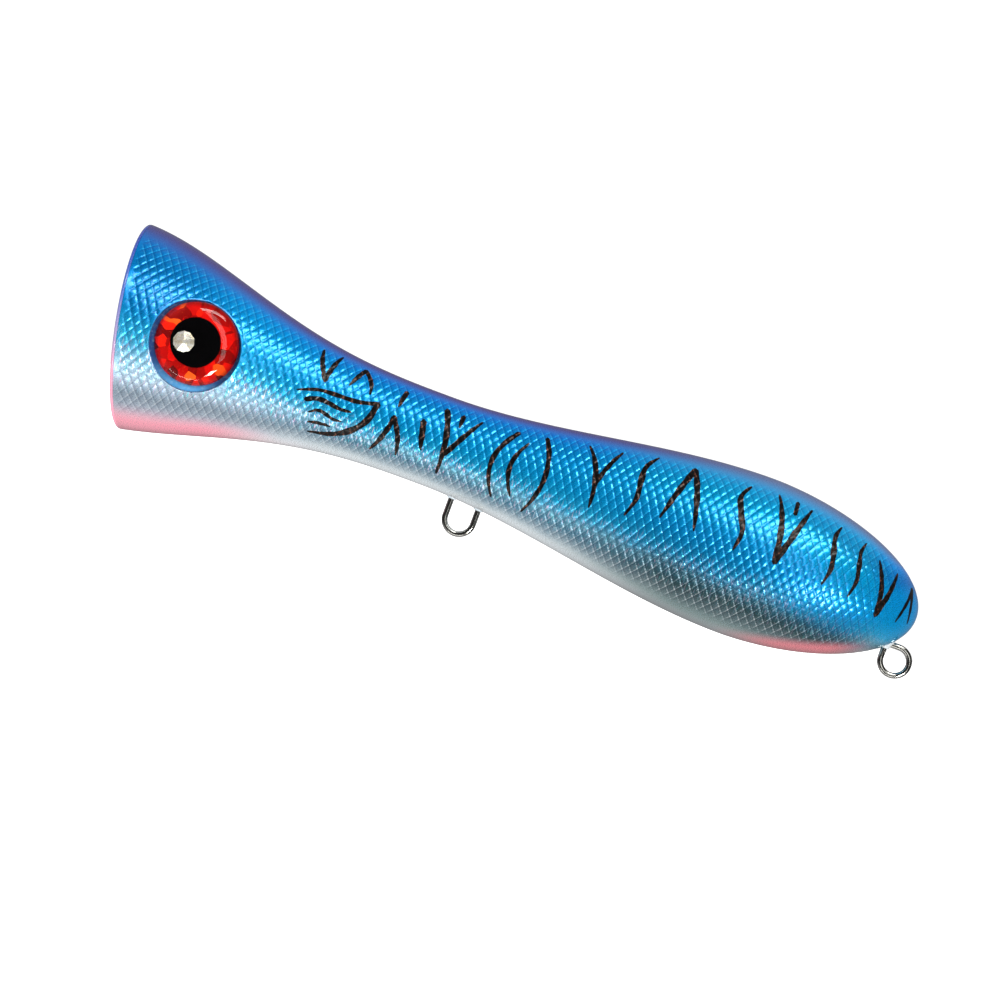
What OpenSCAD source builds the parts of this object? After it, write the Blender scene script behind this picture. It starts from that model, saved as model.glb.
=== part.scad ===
// Big-game topwater popper: a flared head with a cupped mouth, a slim waist and a full
// round belly. Two welded half shells close around a through-wire, a belly hanger,
// fixed ballast and a rattle, and each side carries a layered stick-on eye.
// +X runs from the nose to the tail, +Z is up and -Y is the left side.
// The origin is the centre of the tow eye, which lies on the body's long axis.

/* [Body] */
// Length from the centre of the mouth's rim to the tip of the tail
body_len = 190.2; // [184:0.2:210]
// Diameter at the mouth's rim
mouth_d = 46.4; // [44:0.2:50]
// Diameter at the waist
waist_d = 20.8; // [20:0.2:24]
// Distance from the rim to the waist
waist_x = 74; // [70:1:80]
// Diameter at the fullest part of the belly
belly_d = 36.8; // [35:0.2:42]
// Distance from the rim to the fullest part of the belly
belly_x = 149.4; // [146:0.2:154]
// Thickness of the shell's wall
wall = 2.2; // [1.8:0.1:2.4]

/* [Mouth] */
// How far the rim leans forward at the upper lip, in degrees
mouth_slant = 11.2; // [0:0.2:14]
// Thickness of the lip at the rim
lip = 2.4; // [2:0.1:3]
// Depth of the cup below the rim
cup_depth = 13; // [10:0.5:14]
// How far the tow eye's centre lies behind the rim
tow_eye_x = 8; // [7:0.5:9]

/* [Wire] */
// Diameter of the wire
wire_d = 1.4; // [1.2:0.1:1.6]
// Radius of the tow eye and the tail ring, at the wire's centre
ring_r = 3.3; // [3:0.1:3.6]
// Distance from the rim to the belly hanger's middle
hanger_x = 85.2; // [84:0.2:87]
// Width of the belly hanger between the centres of its legs
hanger_w = 6.7; // [6:0.1:7.4]
// How far the belly hanger reaches below the body's axis
hanger_drop = 19.1; // [17:0.1:20]
// How far the tail ring's centre lies below the body's axis
tail_ring_drop = 10.7; // [10:0.1:11.5]
// How far the tail ring's centre lies ahead of the tail's tip
tail_ring_in = 0.9; // [0:0.1:1.5]

/* [Eyes] */
// Distance from the rim to the eye's centre
eye_x = 17.6; // [16:0.2:19]
// Height of the eye's centre above the body's axis
eye_z = 1; // [0:0.1:2]
// Diameter of the eye
eye_d = 18.8; // [17:0.1:19]
// Diameter of the socket that the eye sits in
socket_d = 20.3; // [20:0.1:21]
// Depth of the socket below the body's surface at its centre
socket_depth = 3.2; // [3.1:0.1:3.4]
// Diameter of the pupil
pupil_d = 11.1; // [9:0.1:12]
// Diameter of the faceted glint
glint_d = 4.8; // [3:0.1:5]

/* [Ballast and rattle] */
// Diameter of the ballast slug
slug_d = 9; // [6:0.5:9.5]
// Diameter of the tail weight
tail_weight_d = 12; // [11:0.5:12]
// Diameter of each rattle ball
ball_d = 6.35; // [5:0.05:6.5]
// Inner diameter of the rattle tube
tube_bore = 7; // [7:0.1:7.4]

/* [Hidden] */
$fn = 64;
mouth_r = mouth_d / 2;
waist_r = waist_d / 2;
belly_r = belly_d / 2;
wire_r = wire_d / 2;
rim_x = -tow_eye_x;

// Outline
outline_step = 4;
tail_step = 6;
outline_start = -8;

// Cup
cup_r = mouth_r - lip;
cup_sphere_r = (cup_r * cup_r + cup_depth * cup_depth) / (2 * cup_depth);

// Cross walls inside the shells, as distances from the rim
cross_wall = 3;
head_wall_x = 48;
front_bay_wall_x = 128;
rear_bay_wall_x = 163;
hanger_block_len = 26;
tail_block_x = 175;

// Locating pins, as [distance from the rim, height]
pin_r = 1;
pin_play = 0.1;
pin_len = 2.5;
pin_boss_r = 2.6;
PINS = [[36, 9], [36, -9], [112, 9.6], [112, -9.6]];

// Wire
wire_play = 0.05;
twin_leg_z = wire_r + 0.02;
tow_flat = 1.4;
tow_turn_r = (ring_r - twin_leg_z) / 2;
tow_shank_x = tow_flat + 2 * tow_turn_r;
tow_tail_len = 14;
tail_bend_r = 4;
tail_ring_x = rim_x + body_len - tail_ring_in;
tail_leg_x = tail_ring_x - ring_r;
tail_end_len = 2.3;
hanger_arc_z = -hanger_drop + wire_r + hanger_w / 2;
foot_z = -3.6;
foot_bend_r = 1.6;
foot_len = 5;

// Eyes. The sockets' floors turn back with the head's slope, but only part of the way.
eye_tilt_share = 0.6;
eye_slope = body_r(eye_x + 0.5) - body_r(eye_x - 0.5);
eye_tilt = eye_tilt_share * atan(-eye_slope);
eye_lift = asin(eye_z / body_r(eye_x));
eye_shift = [0.25, 0.6];
socket_wall = 1.8;
pad_t = 0.3;
foil_t = 0.2;
pupil_t = 0.15;
glint_h = 0.6;
glint_facets = 10;
pupil_shift = [-0.35, 0.15];
glint_shift = [-2.85, -0.6];
dome_edge = 0.6;
dome_h = 2.9;
layer_play = 0.05;

// Ballast and rattle
seat = 1.5;
seat_play = 0.1;
bay_from = front_bay_wall_x + cross_wall / 2 - seat + seat_play;
bay_len = rear_bay_wall_x - front_bay_wall_x - cross_wall + 2 * (seat - seat_play);
slug_z = -8.5;
slug_edge = 0.5;
tube_z = 7.5;
tube_wall = 0.8;
tube_floor = 1.5;
plug_len = 2.5;
ball_gap = 0.3;
tail_weight_x = 170;
tail_weight_z = -6.5;

EYE_LAYERS = ["eye_pad", "iris_foil", "pupil", "glint", "eye_dome"];

// ---- Body outline ----

// How the head narrows from the rim, 1 there, to the waist, 0.
function flare(t) = pow(1 - t, 3) * (1 + 2.3 * t);

// How the belly fills out from the waist, 0, to its fullest part, 1.
function swell(t) = t * t * (3 - 2 * t);

// How the tail closes from the fullest part, 1, to the tip, 0.
function taper(t) = sqrt(max(0, 1 - pow(t, 1.85)));

// The body's radius at a distance behind the rim's centre.
function body_r(x) =
    x < waist_x ? waist_r + (mouth_r - waist_r) * flare(x / waist_x)
    : x < belly_x ? waist_r + (belly_r - waist_r) * swell((x - waist_x) / (belly_x - waist_x))
    : belly_r * taper((x - belly_x) / (body_len - belly_x));

// Half of the body's section as [distance, radius] points, drawn in by inset all round.
// The tail is stepped by angle, so that its blunt end stays round.
function outline(inset) = [
    [0, outline_start],
    for (x = [outline_start : outline_step : belly_x - 1]) [body_r(x) - inset, x],
    for (a = [0 : tail_step : 90]) [
        (belly_r - inset) * taper(sin(a)),
        belly_x + (body_len - inset - belly_x) * sin(a)
    ]
];

module turned_body(inset)
    rotate([0, 90, 0])
        rotate([0, 0, 90])
            rotate_extrude()
                polygon(outline(inset));

// One side of the body alone, which meets the other on the upright plane of the axis.
module half_body(side)
    rotate([0, 90, 0])
        rotate([0, 0, side == "left" ? 180 : 0])
            rotate_extrude(angle = 180)
                polygon(outline(0));

// ---- Mouth ----

// Points children's +Z straight out of the slanted mouth.
module facing_out()
    rotate([0, -90 - mouth_slant, 0])
        children();

module ahead_of_rim()
    facing_out()
        cylinder(h = 30, r = 40);

module cup_ball(grow)
    facing_out()
        translate([0, 0, cup_sphere_r - cup_depth])
            rotate([90, 0, 0])
                sphere(r = cup_sphere_r + grow);

// ---- Wire forms, drawn flat in the upright plane of the body's axis ----

module upright()
    rotate([90, 0, 0])
        children();

module rod(from, to, r) {
    way = to - from;
    translate([from[0], from[1], 0])
        rotate([0, 90, atan2(way[1], way[0])])
            cylinder(h = norm(way), r = r);
}

module bent_rod(centre, bend_r, r, from_angle, sweep)
    translate([centre[0], centre[1], 0])
        rotate([0, 0, from_angle])
            rotate_extrude(angle = sweep)
                translate([bend_r, 0])
                    rotate(90)
                        circle(r = r);

// One leg of the tow eye, which turns in to run beside the other. side is 1 for the
// upper leg and -1 for the lower.
module tow_leg(side, r, run) {
    loop_z = side * ring_r;
    turn_z = side * (twin_leg_z + tow_turn_r);
    shank_z = side * twin_leg_z;
    rod([0, loop_z], [tow_flat, loop_z], r);
    bent_rod([tow_flat, turn_z], tow_turn_r, r, side > 0 ? 0 : 270, 90);
    bent_rod([tow_shank_x, turn_z], tow_turn_r, r, side > 0 ? 180 : 90, 90);
    rod([tow_shank_x, shank_z], [tow_shank_x + run, shank_z], r);
}

// The wire from the tow eye, along the body and down into the tail ring.
module through_wire_form(r) {
    bend_x = tail_leg_x - tail_bend_r;
    bend_z = twin_leg_z - tail_bend_r;
    ring_top = ring_r - tail_ring_drop;
    upright() {
        bent_rod([0, 0], ring_r, r, 90, 180);
        tow_leg(1, r, bend_x - tow_shank_x);
        tow_leg(-1, r, tow_tail_len);
        bent_rod([bend_x, bend_z], tail_bend_r, r, 0, 90);
        rod([tail_leg_x, bend_z], [tail_leg_x, -tail_ring_drop], r);
        bent_rod([tail_ring_x, -tail_ring_drop], ring_r, r, 180, 270);
        rod([tail_ring_x, ring_top], [tail_ring_x - tail_end_len, ring_top], r);
    }
}

// The U of the belly hanger, with feet that turn outwards inside the body.
module hanger_form(r) {
    leg_top = foot_z - foot_bend_r;
    upright()
        translate([rim_x + hanger_x, 0]) {
            bent_rod([0, hanger_arc_z], hanger_w / 2, r, 180, 180);
            for (side = [-1, 1]) {
                leg_x = side * hanger_w / 2;
                bend_x = leg_x + side * foot_bend_r;
                rod([leg_x, hanger_arc_z], [leg_x, leg_top], r);
                bent_rod([bend_x, leg_top], foot_bend_r, r, side < 0 ? 0 : 90, 90);
                rod([bend_x, foot_z], [bend_x + side * foot_len, foot_z], r);
            }
        }
}

// ---- Eyes ----

// Puts children on the floor of an eye socket, with +Z out of it, +X towards the tail
// and +Y up. side is "left" or "right".
module in_socket(side)
    mirror([0, side == "right" ? 1 : 0, 0])
        rotate([-eye_lift, 0, 0])
            translate([rim_x + eye_x, -body_r(eye_x), 0])
                rotate([90, 0, eye_tilt])
                    translate([0, 0, -socket_depth])
                        children();

// Lifts a layer of the eye to its height above the socket's floor.
module layer(height)
    translate([eye_shift[0], eye_shift[1], height])
        children();

module eye_pad(side)
    color("white")
        in_socket(side)
            layer(0)
                cylinder(h = pad_t, d = eye_d - 0.6);

module iris_foil(side)
    color("red")
        in_socket(side)
            layer(pad_t)
                cylinder(h = foil_t, d = eye_d);

module pupil(side)
    color("black")
        in_socket(side)
            layer(pad_t + foil_t)
                translate([pupil_shift[0], pupil_shift[1], 0])
                    cylinder(h = pupil_t, d = pupil_d);

// A low ten-sided stud that comes to a blunt point.
module glint(side)
    color("silver")
        in_socket(side)
            layer(pad_t + foil_t + pupil_t)
                translate([glint_shift[0], glint_shift[1], 0])
                    cylinder(h = glint_h, d1 = glint_d, d2 = glint_d / 5, $fn = glint_facets);

// The clear dome, hollowed underneath to clear the pupil and the glint.
module eye_dome(side) {
    rise = dome_h - dome_edge;
    eye_r = eye_d / 2;
    cap_r = (eye_r * eye_r + rise * rise) / (2 * rise);
    color([0.9, 0.95, 1, 0.35])
        in_socket(side)
            layer(pad_t + foil_t)
                difference() {
                    intersection() {
                        cylinder(h = dome_h + 1, d = eye_d);
                        translate([0, 0, dome_h - cap_r])
                            sphere(r = cap_r);
                    }
                    translate([pupil_shift[0], pupil_shift[1], -1])
                        cylinder(h = 1 + pupil_t + layer_play, d = pupil_d + 2 * layer_play);
                    translate([glint_shift[0], glint_shift[1], 0])
                        cylinder(h = pupil_t + glint_h + layer_play, d = glint_d + 2 * layer_play);
                }
}

// ---- Shells ----

module slab(from, len)
    translate([from, -30, -30])
        cube([len, 60, 60]);

module across(x, z, r, from_y, len)
    translate([x, from_y, z])
        rotate([-90, 0, 0])
            cylinder(h = len, r = r);

// The air space, in front of and behind the solid block that holds the belly hanger.
module air_space()
    difference() {
        turned_body(wall);
        cup_ball(wall);
        for (x = [head_wall_x, front_bay_wall_x, rear_bay_wall_x])
            slab(x - cross_wall / 2, cross_wall);
        slab(hanger_x - hanger_block_len / 2, hanger_block_len);
        slab(tail_block_x, 30);
        for (p = PINS)
            across(p[0], p[1], pin_boss_r, -20, 40);
        for (side = ["left", "right"])
            translate([-rim_x, 0, 0])
                in_socket(side)
                    translate([0, 0, -socket_wall])
                        cylinder(h = socket_wall + socket_depth, r = socket_d / 2 + socket_wall);
    }

// Pockets in the cross walls for the slug, the rattle tube and the tail weight.
module seats() {
    for (part = [[slug_z, slug_d], [tube_z, tube_bore + 2 * tube_wall]])
        translate([bay_from - seat_play, 0, part[0]])
            rotate([0, 90, 0])
                rotate([0, 0, 90])
                    cylinder(h = bay_len + 2 * seat_play, d = part[1] + 2 * seat_play);
    translate([tail_weight_x, 0, tail_weight_z])
        rotate([90, 0, 0])
            sphere(d = tail_weight_d + 2 * seat_play);
}

module shell_half(side)
    difference() {
        translate([rim_x, 0, 0])
            difference() {
                half_body(side);
                ahead_of_rim();
                cup_ball(0);
                air_space();
                seats();
            }
        in_socket(side)
            cylinder(h = socket_depth + 4, d = socket_d);
        through_wire_form(wire_r + wire_play);
        hanger_form(wire_r + wire_play);
    }

module shell_left()
    color("dodgerblue") {
        shell_half("left");
        for (p = PINS)
            across(rim_x + p[0], p[1], pin_r, -2, 2 + pin_len);
    }

module shell_right()
    color("deepskyblue")
        difference() {
            shell_half("right");
            for (p = PINS)
                across(rim_x + p[0], p[1], pin_r + pin_play, -1, 1 + pin_len + pin_play);
        }

// ---- Wires ----

module through_wire()
    color("gainsboro")
        through_wire_form(wire_r);

module belly_hanger()
    color("silver")
        hanger_form(wire_r);

// ---- Ballast and rattle ----

// A round piece turned about an axis along the body, at a distance from the rim.
module turned(x, z)
    translate([rim_x + x, 0, z])
        rotate([0, 90, 0])
            children();

module ballast_slug()
    color("dimgray")
        turned(bay_from, slug_z)
            rotate_extrude()
                polygon([
                    [0, 0], [slug_d / 2 - slug_edge, 0], [slug_d / 2, slug_edge],
                    [slug_d / 2, bay_len - slug_edge], [slug_d / 2 - slug_edge, bay_len],
                    [0, bay_len]
                ]);

module tail_weight()
    color("gray")
        translate([rim_x + tail_weight_x, 0, tail_weight_z])
            sphere(d = tail_weight_d);

module rattle_tube()
    color([0.85, 0.9, 0.95, 0.5])
        turned(bay_from, tube_z)
            difference() {
                cylinder(h = bay_len, d = tube_bore + 2 * tube_wall);
                translate([0, 0, tube_floor])
                    cylinder(h = bay_len, d = tube_bore);
            }

module rattle_plug()
    color("white")
        turned(bay_from + bay_len - plug_len, tube_z)
            cylinder(h = plug_len, d = tube_bore);

// The balls lie in a row against the plug; ball 1 is nearest to it.
module rattle_ball(number) {
    pitch = ball_d + ball_gap;
    color("lightsteelblue")
        translate([
            rim_x + bay_from + bay_len - plug_len - ball_gap - ball_d / 2 - (number - 1) * pitch,
            0, tube_z
        ])
            sphere(d = ball_d);
}

shell_left();
shell_right();
through_wire();
belly_hanger();
eye_pad("left");  // eye_pad_left
iris_foil("left");  // iris_foil_left
pupil("left");  // pupil_left
glint("left");  // glint_left
eye_dome("left");  // eye_dome_left
eye_pad("right");  // eye_pad_right
iris_foil("right");  // iris_foil_right
pupil("right");  // pupil_right
glint("right");  // glint_right
eye_dome("right");  // eye_dome_right
ballast_slug();
tail_weight();
rattle_tube();
rattle_plug();
rattle_ball(1);  // rattle_ball_1
rattle_ball(2);  // rattle_ball_2
rattle_ball(3);  // rattle_ball_3
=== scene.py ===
"""Looks of the topwater popper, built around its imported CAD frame.

Lengths are in millimetres while a shape is worked out, and become metres in its mesh.
x is the distance behind the middle of the mouth's rim, z is the height above the body's
axis, and phi is the angle above the middle of a flank, in degrees.
"""

import math

import bmesh
import bpy
import numpy as np
from mathutils import Matrix, Vector
from mathutils.geometry import delaunay_2d_cdt

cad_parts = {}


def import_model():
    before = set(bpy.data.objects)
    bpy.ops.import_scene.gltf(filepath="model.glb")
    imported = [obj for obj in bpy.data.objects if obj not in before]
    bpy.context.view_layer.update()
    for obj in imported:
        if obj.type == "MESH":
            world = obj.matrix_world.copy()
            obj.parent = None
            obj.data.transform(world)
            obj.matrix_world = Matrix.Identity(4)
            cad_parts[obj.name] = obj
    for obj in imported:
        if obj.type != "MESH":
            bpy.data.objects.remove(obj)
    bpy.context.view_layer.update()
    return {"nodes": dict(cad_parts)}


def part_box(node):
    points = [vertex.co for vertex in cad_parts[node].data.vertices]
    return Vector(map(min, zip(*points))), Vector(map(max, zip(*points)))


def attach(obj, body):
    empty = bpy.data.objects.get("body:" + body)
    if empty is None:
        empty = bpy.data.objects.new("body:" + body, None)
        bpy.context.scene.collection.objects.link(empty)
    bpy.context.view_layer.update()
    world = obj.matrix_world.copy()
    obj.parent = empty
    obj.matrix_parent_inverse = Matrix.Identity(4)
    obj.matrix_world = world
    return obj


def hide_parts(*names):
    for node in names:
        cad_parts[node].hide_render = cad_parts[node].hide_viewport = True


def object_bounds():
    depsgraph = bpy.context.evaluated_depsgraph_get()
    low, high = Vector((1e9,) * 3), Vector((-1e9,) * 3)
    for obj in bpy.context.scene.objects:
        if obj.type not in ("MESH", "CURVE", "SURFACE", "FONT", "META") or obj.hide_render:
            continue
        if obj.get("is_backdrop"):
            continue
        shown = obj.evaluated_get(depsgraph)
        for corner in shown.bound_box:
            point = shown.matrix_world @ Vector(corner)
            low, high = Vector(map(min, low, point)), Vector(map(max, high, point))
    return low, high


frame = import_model()

MM = 0.001
BODY = "lure"

# The body's outline, as the CAD has it
BODY_LEN = 190.2
MOUTH_R = 23.2
WAIST_R = 10.4
WAIST_X = 74.0
BELLY_R = 18.4
BELLY_X = 149.4
MOUTH_SLANT = math.radians(11.2)
RIM_X = -8.0
LIP = 2.4
OUTLINE_START = -8
OUTLINE_STEPS = 3200
OUTLINE_TAIL_STEPS = 1600
HALVINGS = 40
CUP_DEPTH = 13.0
CUP_R = MOUTH_R - LIP
CUP_SPHERE_R = (CUP_R**2 + CUP_DEPTH**2) / (2 * CUP_DEPTH)

# Eyes and sockets, as the CAD has them
EYE_X = 17.6
EYE_Z = 1.0
EYE_TILT_SHARE = 0.6
EYE_R = 9.4
EYE_SHIFT = (0.25, 0.6)
SOCKET_R = 10.15
SOCKET_DEPTH = 3.2
FOIL_TOP = 0.5
DOME_H = 2.9
DOME_EDGE = 0.6
DOME_FLATNESS = 4.6
LENS_SINK = 0.04

# The painted skin
SKIN_TOP = 0.28
SKIN_FLOOR = 0.03
RIM_BAND = 0.6
DIAMOND_X = 2.1
DIAMOND_T = 3.5
GROOVE_DEPTH = 0.13
PILLOW = 0.06
SOCKET_ROUND = 0.06
# SOCKET_LINE is the width of the rounded edge round the socket and of the painted shadow line there
SOCKET_LINE = 0.3

# One diamond's edge: the distance from a grid line as a share of the spacing, below 0 towards
# the head; how deep it is pressed; and its painted shade (-1) or painted highlight (1)
EDGE_PLACE = (-0.28, -0.17, -0.09, 0.0, 0.09, 0.4)
EDGE_DEPTH = (0.0, 0.22, 0.75, 1.0, 0.6, 0.0)
EDGE_PAINTED_LIGHT = (0.0, 1.0, -0.1, -1.0, -0.4, 0.0)
LATTICE = tuple(place % 1 for place in EDGE_PLACE)


# ---- Body surface ----

def body_r(x):
    """The body's radius at x, for numbers or arrays."""
    x = np.asarray(x, float)
    head = np.clip(x / WAIST_X, -0.2, 1)
    rise = np.clip((x - WAIST_X) / (BELLY_X - WAIST_X), 0, 1)
    tail = np.clip((x - BELLY_X) / (BODY_LEN - BELLY_X), 0, 1)
    r_head = WAIST_R + (MOUTH_R - WAIST_R) * (1 - head) ** 3 * (1 + 2.3 * head)
    r_rise = WAIST_R + (BELLY_R - WAIST_R) * rise**2 * (3 - 2 * rise)
    r_tail = BELLY_R * np.sqrt(np.maximum(0, 1 - tail**1.85))
    return np.where(x < WAIST_X, r_head, np.where(x < BELLY_X, r_rise, r_tail))


def outline_table():
    """x, radius and length along the outline, in close steps from before the rim to the tip."""
    front = np.linspace(OUTLINE_START, BELLY_X, OUTLINE_STEPS)
    quarter = np.linspace(0, math.pi / 2, OUTLINE_TAIL_STEPS)[1:]
    x = np.concatenate([front, BELLY_X + (BODY_LEN - BELLY_X) * np.sin(quarter)])
    x[-1] = BODY_LEN
    r = body_r(x)
    s = np.concatenate([[0], np.cumsum(np.hypot(np.diff(x), np.diff(r)))])
    return x, r, s - np.interp(0, x, s)


TABLE_X, TABLE_R, TABLE_S = outline_table()
TABLE_DX = np.gradient(TABLE_X, TABLE_S)
TABLE_DR = np.gradient(TABLE_R, TABLE_S)
TIP_S = TABLE_S[-1]


def s_of(x):
    """The length along the outline at x."""
    return np.interp(x, TABLE_X, TABLE_S)


def on_body(s, t, height):
    """Points of the left flank: s along the outline, t round the body from the middle of the
    flank, and height above the surface."""
    x = np.interp(s, TABLE_S, TABLE_X)
    r = np.interp(s, TABLE_S, TABLE_R)
    dx = np.interp(s, TABLE_S, TABLE_DX)
    dr = np.interp(s, TABLE_S, TABLE_DR)
    phi = np.where(r > 1e-3, t / np.maximum(r, 1e-3), 0)
    out = r + height * dx
    return np.stack(
        [RIM_X + x - height * dr, -out * np.cos(phi), out * np.sin(phi)], axis=-1
    )


def flat_of(points):
    """s and t of points that lie on the left flank."""
    x = points[..., 0] - RIM_X
    phi = np.arctan2(points[..., 2], -points[..., 1])
    return np.stack([s_of(x), body_r(x) * phi], axis=-1)


def smooth(value, low, high):
    """0 at low and 1 at high, eased between them."""
    share = np.clip((value - low) / (high - low), 0, 1)
    return share * share * (3 - 2 * share)


def halve(count, low, high, outside):
    """The values between low and high at which outside turns true, found by halving."""
    low, high = np.full(count, float(low)), np.full(count, float(high))
    for _ in range(HALVINGS):
        mid = (low + high) / 2
        past = outside(mid)
        high = np.where(past, mid, high)
        low = np.where(past, low, mid)
    return mid


# ---- Eye socket frame ----

def socket_frame(side):
    """The frame on a socket's floor: +Z out of it, +X towards the tail, +Y up.

    side is 1 for the left and -1 for the right.
    """
    slope = float(body_r(EYE_X + 0.5) - body_r(EYE_X - 0.5))
    lift = math.asin(EYE_Z / float(body_r(EYE_X)))
    place = Matrix.Translation((RIM_X + EYE_X, -float(body_r(EYE_X)), 0))
    tilt = EYE_TILT_SHARE * math.atan(-slope)
    turn = Matrix.Rotation(tilt, 4, "Z") @ Matrix.Rotation(math.pi / 2, 4, "X")
    left = (
        Matrix.Rotation(-lift, 4, "X") @ place @ turn @ Matrix.Translation((0, 0, -SOCKET_DEPTH))
    )
    return Matrix.Diagonal((1, side, 1, 1)) @ left


SOCKET = np.array(socket_frame(1))
SOCKET_BACK = np.linalg.inv(SOCKET)


def socket_radius(points):
    """How far points are from the left socket's axis."""
    local = points @ SOCKET_BACK[:3, :3].T + SOCKET_BACK[:3, 3]
    return np.hypot(local[..., 0], local[..., 1])


def socket_edge(count, play):
    """A ring round the socket's mouth on the body's surface, play outside its wall, as s and t."""
    angle = np.linspace(0, 2 * math.pi, count, endpoint=False)
    radius = SOCKET_R + play

    def place(height):
        local = np.stack([radius * np.cos(angle), radius * np.sin(angle), height], axis=-1)
        return local @ SOCKET[:3, :3].T + SOCKET[:3, 3]

    def outside(height):
        p = place(height)
        return np.hypot(p[:, 1], p[:, 2]) > body_r(p[:, 0] - RIM_X)

    return flat_of(place(halve(count, -6, 8, outside)))


# ---- Meshes ----
SHARP_ANGLE = math.radians(75)


def add_object(name, data):
    made = bpy.data.objects.new(name, data)
    bpy.context.scene.collection.objects.link(made)
    return made


def mesh_object(name, points_mm, faces, materials, index=None):
    """An object from points in millimetres. Its faces are made to look outwards."""
    mesh = bpy.data.meshes.new(name)
    mesh.from_pydata((np.asarray(points_mm) * MM).tolist(), [], faces)
    if index is not None:
        mesh.polygons.foreach_set("material_index", np.asarray(index, np.int32))
    work = bmesh.new()
    work.from_mesh(mesh)
    bmesh.ops.recalc_face_normals(work, faces=work.faces)
    work.to_mesh(mesh)
    work.free()
    mesh.shade_smooth()
    mesh.set_sharp_from_angle(angle=SHARP_ANGLE)
    for material in materials:
        mesh.materials.append(material)
    return add_object(name, mesh)


def weld(made):
    """Joins points that lie together, and makes the faces look outwards again."""
    work = bmesh.new()
    work.from_mesh(made.data)
    bmesh.ops.remove_doubles(work, verts=work.verts, dist=1e-7)
    bmesh.ops.recalc_face_normals(work, faces=work.faces)
    work.to_mesh(made.data)
    work.free()


def loft(rows):
    """Points and faces of closed rows joined in turn. A row of one point closes a fan."""
    points, faces, starts = [], [], []
    for row in rows:
        starts.append(len(points))
        points.extend(row)
    for a, b in zip(range(len(rows) - 1), range(1, len(rows))):
        na, nb = len(rows[a]), len(rows[b])
        n = max(na, nb)
        for i in range(n):
            j = (i + 1) % n
            if na == 1:
                faces.append((starts[a], starts[b] + i, starts[b] + j))
            elif nb == 1:
                faces.append((starts[a] + i, starts[b], starts[a] + j))
            else:
                faces.append((starts[a] + i, starts[b] + i, starts[b] + j, starts[a] + j))
    return np.array(points), faces


def turned(profile, place, turns=64):
    """Points and faces of a closed profile of (radius, height), turned about the +Z of a frame."""
    rows = []
    for radius, height in profile:
        if radius == 0:
            rows.append([place @ Vector((0, 0, height))])
            continue
        rows.append(
            [
                place @ Vector((radius * math.cos(a), radius * math.sin(a), height))
                for a in np.linspace(0, 2 * math.pi, turns, endpoint=False)
            ]
        )
    return loft([[tuple(p) for p in row] for row in rows])


# ---- Black stripes ----
# A stroke is (points, width, taper): points are (x, phi), and taper names the ends that run
# out to a point.
STROKE_SHARES = (0.0, 0.25, 0.5, 0.75, 1.0)
STROKE_STEP = 0.45
STROKE_TIP = 0.2
STROKE_TAPER = 0.45
STROKE_ROUND = 0.65
STROKE_WAVER = 0.09
STROKE_WAVES = 23
FEWEST_STEPS = 6
CURVE_STEPS = 24


def sweep(start, end, width, taper="both", bow=(0, 0), swing=(0, 0)):
    """A stroke from start to end, bowed to one side or waved by so many mm and degrees."""
    points = []
    for share in STROKE_SHARES:
        arc, wave = math.sin(math.pi * share), math.sin(2 * math.pi * share)
        points.append(tuple(
            start[i] + share * (end[i] - start[i]) + arc * bow[i] + wave * swing[i]
            for i in range(2)
        ))
    return points, width, taper


def fork(meeting, front, rear, width, front_bow=0.0, rear_bow=0.0):
    """Two strokes that meet at a point: a V, or an arch where they run down from it."""
    return [
        sweep(front, meeting, width, "start", (front_bow, 0)),
        sweep(rear, meeting, width, "start", (rear_bow, 0)),
    ]


def fin():
    """The gill fin behind the eye: an upper edge, a round lower edge and three rays."""
    tip, front = (59.5, 16), (46.5, -42)
    turns = [share * math.pi / 2 for share in STROKE_SHARES]
    round_edge = [
        (front[0] + (tip[0] - front[0]) * math.cos(a), tip[1] + (front[1] - tip[1]) * math.sin(a))
        for a in turns
    ]
    return [
        sweep((41.5, -1), tip, 1.0, "start", (0, 1), (0, 2.5)),
        (round_edge, 1.45, "end"),
        sweep((44, -7), (54.5, -4), 1.1, "end", (0, 2.5), (0, 2)),
        sweep((45.5, -19), (53, -18), 0.9, "both", (0, 3), (0, 2.5)),
        sweep((46, -30), (51, -28), 0.9, "both", (0, 1)),
    ]


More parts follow.
